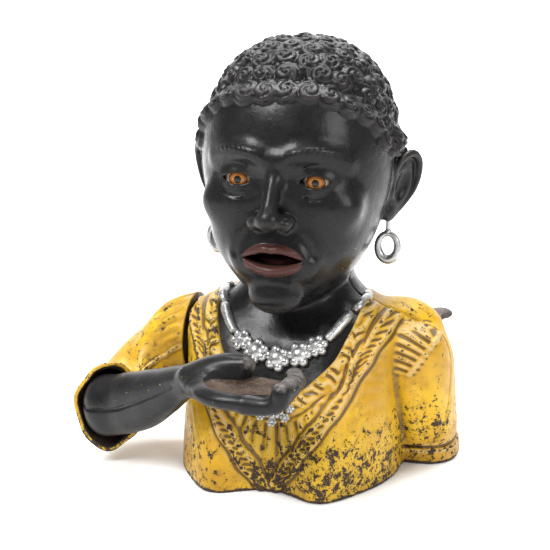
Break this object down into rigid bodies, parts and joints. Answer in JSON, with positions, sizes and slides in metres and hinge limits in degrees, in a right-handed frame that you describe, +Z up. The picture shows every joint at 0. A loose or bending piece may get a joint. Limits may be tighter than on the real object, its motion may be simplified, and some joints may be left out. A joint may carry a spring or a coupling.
{
  "type": "mechanical bank",
  "caption": "Cast iron bust with a pivoting arm: pressing the lever behind the shoulder lifts the hand to the mouth, flips the tongue and rolls the eyes.",
  "frame": {"origin": "middle of the whole bank's outline, on the surface it stands on", "axes": "+Z up; the bust faces -Y; +X is the bust's own left, the side away from the moving arm"},
  "size_m": [0.1438, 0.1308, 0.1652],
  "materials": {
    "yellow_enamel": "chipped semi-gloss mustard enamel on cast iron",
    "black_enamel": "worn gloss black enamel on cast iron",
    "silver_paint": "worn silver paint on cast iron",
    "rose_enamel": "dull rose enamel",
    "amber_enamel": "gloss amber enamel",
    "bare_iron": "dark rough casting",
    "steel": "plain bright wire and screw steel"
  },
  "bodies": {
    "bust": {"front_shell": "yellow_enamel", "back_shell": "yellow_enamel", "base_plate": "bare_iron", "trap_rivet": "steel", "case_screw_left": "steel", "case_screw_right": "steel", "plate_screw_front": "steel", "plate_screw_back": "steel", "earring_left": "silver_paint", "earring_right": "silver_paint", "tongue_pin": "steel"},
    "arm": {"right_sleeve": "yellow_enamel", "forearm_and_hand": "black_enamel", "elbow_rivet": "bare_iron", "arm_crank": "bare_iron", "arm_crank_screw": "steel"},
    "lever": {"thumb_lever": "bare_iron", "rock_shaft": "steel", "link_crank": "bare_iron", "rod_crank": "bare_iron"},
    "link": {"arm_link": "steel"},
    "rod": {"head_rod": "steel"},
    "tongue": {"tongue": "rose_enamel"},
    "eyes": {"eyeball_left": "amber_enamel", "eyeball_right": "amber_enamel", "eye_axle": "steel", "eye_crank": "bare_iron"},
    "cover": {"trap_cover": "bare_iron"}
  },
  "joints": [
    {"name": "arm_raise", "type": "hinge", "parent": "bust", "child": "arm", "pos_m": [-0.02949, 0.01519, 0.05], "axis": [-1, 0, 0], "range_deg": [0, 38]},
    {"name": "lever_press", "type": "hinge", "parent": "bust", "child": "lever", "pos_m": [0.04651, 0.02569, 0.044], "axis": [-1, 0, 0], "range_deg": [0, 38]},
    {"name": "link_turn", "type": "hinge", "parent": "lever", "child": "link", "pos_m": [-0.01519, 0.02401, 0.03516], "axis": [-1, 0, 0], "range_deg": [-38, 0]},
    {"name": "rod_turn", "type": "hinge", "parent": "lever", "child": "rod", "pos_m": [0.02471, 0.03562, 0.04742], "axis": [-1, 0, 0], "range_deg": [-38, 0]},
    {"name": "tongue_flip", "type": "hinge", "parent": "bust", "child": "tongue", "pos_m": [0.01051, 0.00869, 0.0845], "axis": [-1, 0, 0], "range_deg": [0, 38]},
    {"name": "eyes_roll", "type": "hinge", "parent": "bust", "child": "eyes", "pos_m": [0.01051, -0.0102, 0.11548], "axis": [-1, 0, 0], "range_deg": [0, 38]},
    {"name": "cover_swing", "type": "hinge", "parent": "bust", "child": "cover", "pos_m": [0.02351, 0.00919, 0.002], "axis": [0, 0, -1], "range_deg": [0, 100]}
  ],
  "couplings": [
    {"joint": "lever_press", "follows": "arm_raise", "ratio": 1},
    {"joint": "link_turn", "follows": "arm_raise", "ratio": -1},
    {"joint": "rod_turn", "follows": "arm_raise", "ratio": -1},
    {"joint": "tongue_flip", "follows": "arm_raise", "ratio": 1},
    {"joint": "eyes_roll", "follows": "arm_raise", "ratio": 1}
  ]
}
